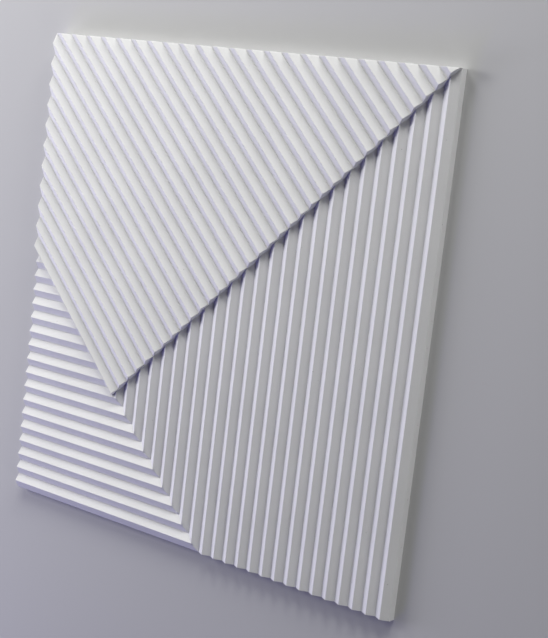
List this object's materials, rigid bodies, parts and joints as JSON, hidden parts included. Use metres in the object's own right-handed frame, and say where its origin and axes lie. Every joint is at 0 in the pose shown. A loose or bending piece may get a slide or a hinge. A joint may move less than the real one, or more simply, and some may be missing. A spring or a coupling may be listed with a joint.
{
  "type": "ribbed wall panel tile",
  "caption": "Square cast gypsum wall panel tile. Sharp parallel ribs run upright, level and diagonally in mitred fields, the upper left one raised by a step; flat back.",
  "frame": {"origin": "centre of the flat back face", "axes": "+Z out of the back through the ribbed face, +X to the panel's right and +Y to its top, as seen from the front in the picture"},
  "size_m": [0.6, 0.6, 0.0213],
  "materials": {
    "plaster": "matte cast gypsum, unpainted white"
  },
  "bodies": {
    "root": {"wall_panel": "plaster"}
  },
  "joints": []
}
